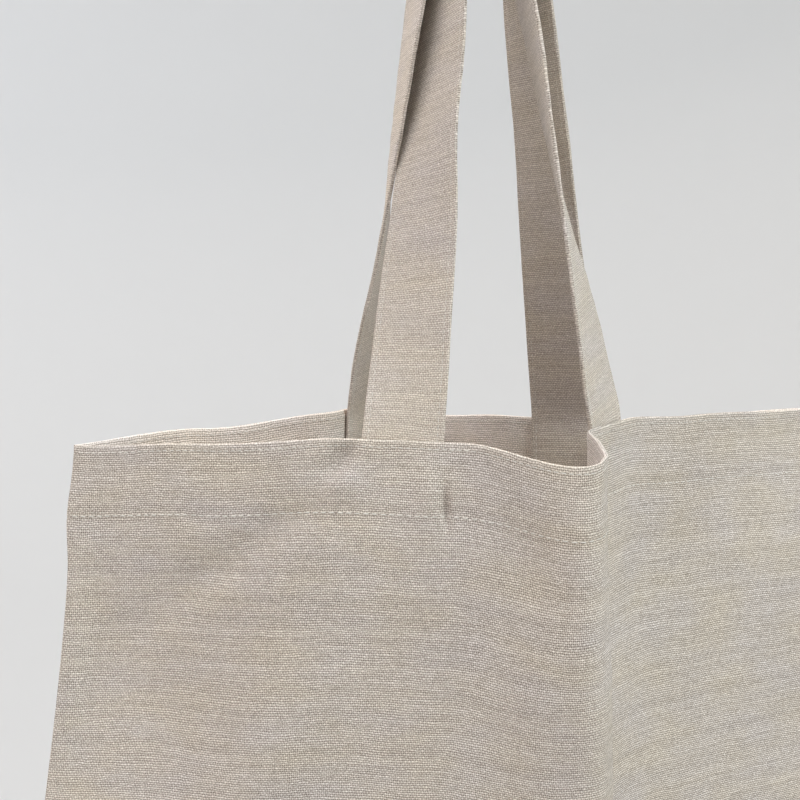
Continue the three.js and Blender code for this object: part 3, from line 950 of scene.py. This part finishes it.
def make_studio(material):
    profile = [(FLOOR_MIDDLE, FLOOR_Z), (FLOOR_RADIUS / 2, FLOOR_Z)]
    for step in range(CURVE_ROWS + 1):
        angle = step / CURVE_ROWS * math.pi / 2
        radius = FLOOR_RADIUS + WALL_CURVE * math.sin(angle)
        profile.append((radius, FLOOR_Z + WALL_CURVE * (1 - math.cos(angle))))
    profile.append((FLOOR_RADIUS + WALL_CURVE, WALL_TOP))
    profile = np.array(profile)
    angles = np.arange(STUDIO_SIDES) * 2 * math.pi / STUDIO_SIDES
    points = np.stack([np.outer(profile[:, 0], np.cos(angles)), np.outer(profile[:, 0], np.sin(angles)),
                       np.repeat(profile[:, 1:], STUDIO_SIDES, axis=1)], 2)
    faces = []
    for row in range(len(profile) - 1):
        for side in range(STUDIO_SIDES):
            ahead = (side + 1) % STUDIO_SIDES
            faces.append([row * STUDIO_SIDES + side, row * STUDIO_SIDES + ahead,
                          (row + 1) * STUDIO_SIDES + ahead, (row + 1) * STUDIO_SIDES + side])
    mesh = bpy.data.meshes.new("studio_floor")
    mesh.from_pydata(points.reshape(-1, 3).tolist(), [], faces)
    mesh.polygons.foreach_set("use_smooth", np.ones(len(mesh.polygons), dtype=bool))
    mesh.materials.append(material)
    floor = bpy.data.objects.new("studio_floor", mesh)
    bpy.context.scene.collection.objects.link(floor)
    return floor


# Soft round studio lights, each with the place it is aimed at.
LIGHT_SIZE = 1.4
BAG_MIDDLE = (0.0, 0.0, -0.3)
WALL_LEFT = (-1.2, 3.6, -0.4)
AIR_LIGHT = 0.02
LIGHTS = [
    {"name": "right_light", "place": (1.3, -1.5, 1.5), "aim": BAG_MIDDLE,
     "power": 62.0, "colour": (0.91, 1.0, 1.01)},
    {"name": "left_light", "place": (-1.6, -1.0, 1.3), "aim": BAG_MIDDLE,
     "power": 18.5, "colour": (1.0, 1.0, 1.06)},
    {"name": "side_light", "place": (-1.8, 0.3, 1.3), "aim": BAG_MIDDLE,
     "power": 20.3, "colour": (1.06, 1.0, 0.96)},
    {"name": "back_light", "place": (0.2, 1.7, 1.6), "aim": BAG_MIDDLE,
     "power": 46.9, "colour": (1.14, 1.0, 0.88)},
    {"name": "wall_light", "place": (-1.0, 1.6, 0.9), "aim": WALL_LEFT,
     "power": 12.6, "colour": (0.96, 1.0, 1.14)},
]


def soft_light(light):
    data = bpy.data.lights.new(light["name"], "AREA")
    data.shape = "DISK"
    data.size = LIGHT_SIZE
    data.energy = light["power"]
    data.color = light["colour"]
    lamp = bpy.data.objects.new(light["name"], data)
    lamp.location = light["place"]
    lamp.rotation_mode = "QUATERNION"
    lamp.rotation_quaternion = (Vector(light["aim"]) - lamp.location).to_track_quat("-Z", "Y")
    lamp.visible_camera = False
    bpy.context.scene.collection.objects.link(lamp)


CAMERA_PLACE = (-0.2071, -0.5691, -0.104)
CAMERA_PITCH = 81.64
CAMERA_HEADING = -17.5
CAMERA_LENS = 75.0
SENSOR_WIDTH = 36.0


def make_camera():
    data = bpy.data.cameras.new("camera")
    data.lens = CAMERA_LENS
    data.sensor_width = SENSOR_WIDTH
    data.clip_start = 0.01
    data.clip_end = 50.0
    camera = bpy.data.objects.new("camera", data)
    camera.location = CAMERA_PLACE
    camera.rotation_euler = (math.radians(CAMERA_PITCH), 0.0, math.radians(CAMERA_HEADING))
    bpy.context.scene.collection.objects.link(camera)
    bpy.context.scene.camera = camera


make_camera()

panel_linen = linen("panel_linen", PANEL_WEAVE)
strap_linen = linen("strap_linen", STRAP_WEAVE)
linen_thread = thread("linen_thread")

front_path = strap_path(FRONT, FRONT_LEFT_LEG, FRONT_RIGHT_LEG, FRONT_ARCH)
back_path = strap_path(BACK, BACK_LEFT_LEG, BACK_RIGHT_LEG, BACK_ARCH)

front_cloth = make_panel("front_cloth", FRONT, panel_linen)
back_cloth = make_panel("back_cloth", BACK, panel_linen)
front_strap = make_strap("front_strap", front_path, strap_linen, FRONT_STRAP_SEED)
back_strap = make_strap("back_strap", back_path, strap_linen, BACK_STRAP_SEED)
front_hem_stitches = make_panel_stitches("front_hem_stitches", FRONT, linen_thread)
back_hem_stitches = make_panel_stitches("back_hem_stitches", BACK, linen_thread)
front_strap_stitches = make_strap_stitches(
    "front_strap_stitches", front_path, linen_thread, FRONT_STRAP_SEED)
back_strap_stitches = make_strap_stitches(
    "back_strap_stitches", back_path, linen_thread, BACK_STRAP_SEED)

for piece, node, slot in (
    (front_cloth, "front_panel", "bag_linen"),
    (back_cloth, "back_panel", "bag_linen"),
    (front_strap, "front_handle", "handle_linen"),
    (back_strap, "back_handle", "handle_linen"),
):
    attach(piece, BODY)
    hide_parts(node)
for piece, slot in (
    (front_hem_stitches, "bag_linen"),
    (back_hem_stitches, "bag_linen"),
    (front_strap_stitches, "handle_linen"),
    (back_strap_stitches, "handle_linen"),
):
    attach(piece, BODY)

make_studio(plain("studio_paint", STUDIO_PAINT))
for light in LIGHTS:
    soft_light(light)

world = bpy.data.worlds.new("studio_air")
world.use_nodes = True
world.node_tree.nodes["Background"].inputs["Color"].default_value = (1.0, 1.0, 1.0, 1.0)
world.node_tree.nodes["Background"].inputs["Strength"].default_value = AIR_LIGHT
bpy.context.scene.world = world
bpy.context.scene.view_settings.view_transform = "Standard"
